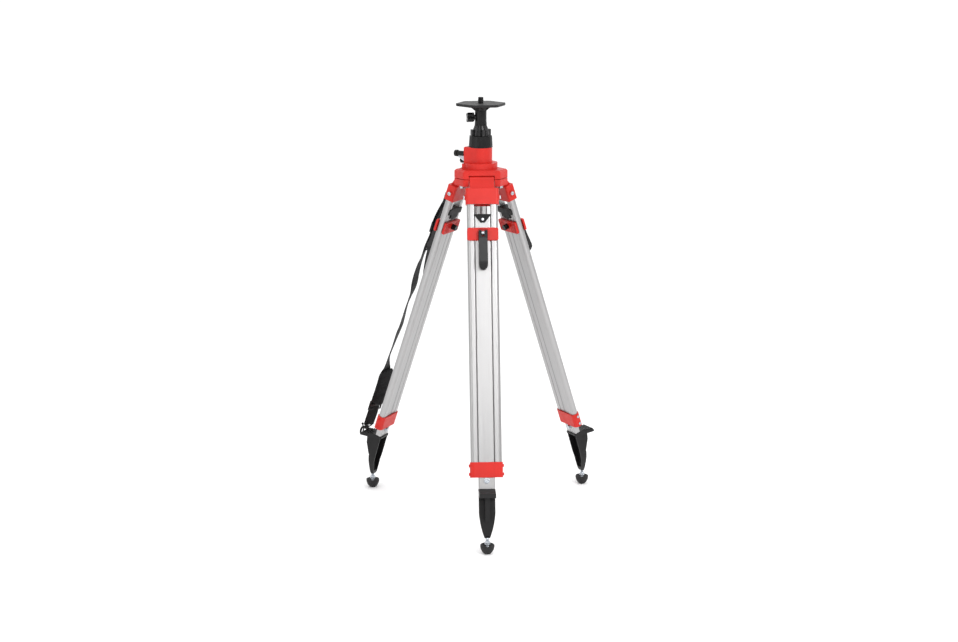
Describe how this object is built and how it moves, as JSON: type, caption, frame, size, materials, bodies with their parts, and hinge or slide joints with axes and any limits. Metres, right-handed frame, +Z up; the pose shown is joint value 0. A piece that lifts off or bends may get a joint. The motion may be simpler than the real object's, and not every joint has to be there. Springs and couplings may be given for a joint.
{
  "type": "elevating tripod",
  "caption": "Elevating tripod for a construction laser: crank-driven column, threaded stud on a round plate, folding telescopic legs with quick clamps and a shoulder strap.",
  "frame": {"origin": "on the ground under the centre of the column, in the plane of the three foot pads", "axes": "+Z up along the column, the front leg points to -Y, +X to the right of the front leg"},
  "size_m": [0.6846, 0.6087, 1.148],
  "materials": {
    "red_casting": "satin red plastic-coated casting",
    "black_plastic": "moulded black nylon, fine grain",
    "aluminium": "satin anodised extrusion",
    "zinc": "bright zinc plating",
    "rubber": "matt black rubber",
    "webbing": "woven black polypropylene",
    "pad_fabric": "padded black nylon"
  },
  "bodies": {
    "apex": {"apex_plate": "red_casting", "clamp_plates": "red_casting", "clamp_bolts": "zinc", "column_housing": "red_casting"},
    "crank": {"crank_arm": "zinc"},
    "crank_handle": {"crank_knob": "black_plastic"},
    "column": {"column_tube": "aluminium", "column_caps": "black_plastic"},
    "lock_nut": {"lock_nut": "black_plastic"},
    "upper_column": {"inner_column": "aluminium"},
    "head": {"head_hub": "black_plastic", "instrument_plate": "black_plastic", "stud": "black_plastic"},
    "head_knob": {"wing_knob": "black_plastic"},
    "front_outer": {"front_bracket": "red_casting", "front_outer_tubes": "aluminium", "front_sleeve": "red_casting", "front_outer_screws": "zinc"},
    "front_inner": {"front_inner_leg": "aluminium", "front_guide_plug": "black_plastic", "front_inner_bolts": "zinc", "front_jaw_outer": "red_casting", "front_jaw_inner": "red_casting", "front_foot": "black_plastic"},
    "front_lever": {"front_lever": "black_plastic"},
    "front_knob": {"front_clamp_knob": "black_plastic"},
    "front_foot_pad": {"front_spike_bolt": "zinc", "front_pad": "rubber"},
    "right_outer": {"right_bracket": "red_casting", "right_outer_tubes": "aluminium", "right_sleeve": "red_casting", "right_outer_screws": "zinc"},
    "right_inner": {"right_inner_leg": "aluminium", "right_guide_plug": "black_plastic", "right_inner_bolts": "zinc", "right_jaw_outer": "red_casting", "right_jaw_inner": "red_casting", "right_foot": "black_plastic"},
    "right_lever": {"right_lever": "black_plastic"},
    "right_knob": {"right_clamp_knob": "black_plastic"},
    "right_foot_pad": {"right_spike_bolt": "zinc", "right_pad": "rubber"},
    "left_outer": {"left_bracket": "red_casting", "left_outer_tubes": "aluminium", "left_sleeve": "red_casting", "left_outer_screws": "zinc", "strap_ring": "black_plastic", "strap_webbing": "webbing", "shoulder_pad": "pad_fabric", "strap_clip": "black_plastic"},
    "left_inner": {"left_inner_leg": "aluminium", "left_guide_plug": "black_plastic", "left_inner_bolts": "zinc", "left_jaw_outer": "red_casting", "left_jaw_inner": "red_casting", "left_foot": "black_plastic"},
    "left_lever": {"left_lever": "black_plastic"},
    "left_knob": {"left_clamp_knob": "black_plastic"},
    "left_foot_pad": {"left_spike_bolt": "zinc", "left_pad": "rubber"}
  },
  "joints": [
    {"name": "column_lift", "type": "slide", "parent": "apex", "child": "column", "axis": [0, 0, 1], "range_m": [0, 0.4]},
    {"name": "crank_turn", "type": "hinge", "parent": "apex", "child": "crank", "pos_m": [-0.0111, -0.01923, 0.998], "axis": [0.866, -0.5, 0], "range_deg": [0, 3830]},
    {"name": "crank_knob_spin", "type": "hinge", "parent": "crank", "child": "crank_handle", "pos_m": [-0.04363, 0.06444, 0.9718], "axis": [-0.866, 0.5, 0], "continuous": true},
    {"name": "lock_nut_twist", "type": "hinge", "parent": "column", "child": "lock_nut", "pos_m": [0, 0, 1.06], "axis": [0, 0, 1], "range_deg": [0, 90]},
    {"name": "upper_column_slide", "type": "slide", "parent": "column", "child": "upper_column", "axis": [0, 0, 1], "range_m": [0, 0.36]},
    {"name": "head_turn", "type": "hinge", "parent": "upper_column", "child": "head", "pos_m": [0, 0, 1.09], "axis": [0, 0, 1], "continuous": true},
    {"name": "head_knob_turn", "type": "hinge", "parent": "head", "child": "head_knob", "pos_m": [-0.02971, -0.00418, 1.0947], "axis": [-0.9903, -0.1392, 0], "continuous": true},
    {"name": "front_leg_fold", "type": "hinge", "parent": "apex", "child": "front_outer", "pos_m": [0, -0.046, 0.936], "axis": [1, 0, 0], "range_deg": [0, 19]},
    {"name": "front_leg_slide", "type": "slide", "parent": "front_outer", "child": "front_inner", "axis": [0, -0.3272, -0.9449], "range_m": [0, 0.56]},
    {"name": "front_lever_open", "type": "hinge", "parent": "front_inner", "child": "front_lever", "pos_m": [0, -0.12254, 0.80482], "axis": [-1, 0, 0], "range_deg": [0, 110]},
    {"name": "front_clamp_knob_turn", "type": "hinge", "parent": "front_inner", "child": "front_knob", "pos_m": [0, -0.0819, 0.79075], "axis": [0, -0.9449, 0.3272], "continuous": true},
    {"name": "front_pad_swivel", "type": "hinge", "parent": "front_inner", "child": "front_foot_pad", "pos_m": [0, -0.354, 0.04], "axis": [1, 0, 0], "range_deg": [-22, 22]},
    {"name": "right_leg_fold", "type": "hinge", "parent": "apex", "child": "right_outer", "pos_m": [0.03984, 0.023, 0.936], "axis": [-0.5, 0.866, 0], "range_deg": [0, 19]},
    {"name": "right_leg_slide", "type": "slide", "parent": "right_outer", "child": "right_inner", "axis": [0.2834, 0.1636, -0.9449], "range_m": [0, 0.56]},
    {"name": "right_lever_open", "type": "hinge", "parent": "right_inner", "child": "right_lever", "pos_m": [0.10612, 0.06127, 0.80482], "axis": [0.5, -0.866, 0], "range_deg": [0, 110]},
    {"name": "right_clamp_knob_turn", "type": "hinge", "parent": "right_inner", "child": "right_knob", "pos_m": [0.07093, 0.04095, 0.79075], "axis": [0.8183, 0.4725, 0.3272], "continuous": true},
    {"name": "right_pad_swivel", "type": "hinge", "parent": "right_inner", "child": "right_foot_pad", "pos_m": [0.30657, 0.177, 0.04], "axis": [-0.5, 0.866, 0], "range_deg": [-22, 22]},
    {"name": "left_leg_fold", "type": "hinge", "parent": "apex", "child": "left_outer", "pos_m": [-0.03984, 0.023, 0.936], "axis": [-0.5, -0.866, 0], "range_deg": [0, 19]},
    {"name": "left_leg_slide", "type": "slide", "parent": "left_outer", "child": "left_inner", "axis": [-0.2834, 0.1636, -0.9449], "range_m": [0, 0.56]},
    {"name": "left_lever_open", "type": "hinge", "parent": "left_inner", "child": "left_lever", "pos_m": [-0.10612, 0.06127, 0.80482], "axis": [0.5, 0.866, 0], "range_deg": [0, 110]},
    {"name": "left_clamp_knob_turn", "type": "hinge", "parent": "left_inner", "child": "left_knob", "pos_m": [-0.07093, 0.04095, 0.79075], "axis": [-0.8183, 0.4725, 0.3272], "continuous": true},
    {"name": "left_pad_swivel", "type": "hinge", "parent": "left_inner", "child": "left_foot_pad", "pos_m": [-0.30657, 0.177, 0.04], "axis": [-0.5, -0.866, 0], "range_deg": [-22, 22]}
  ],
  "couplings": [
    {"joint": "crank_turn", "follows": "column_lift", "rad_per_m": 166.67}
  ]
}
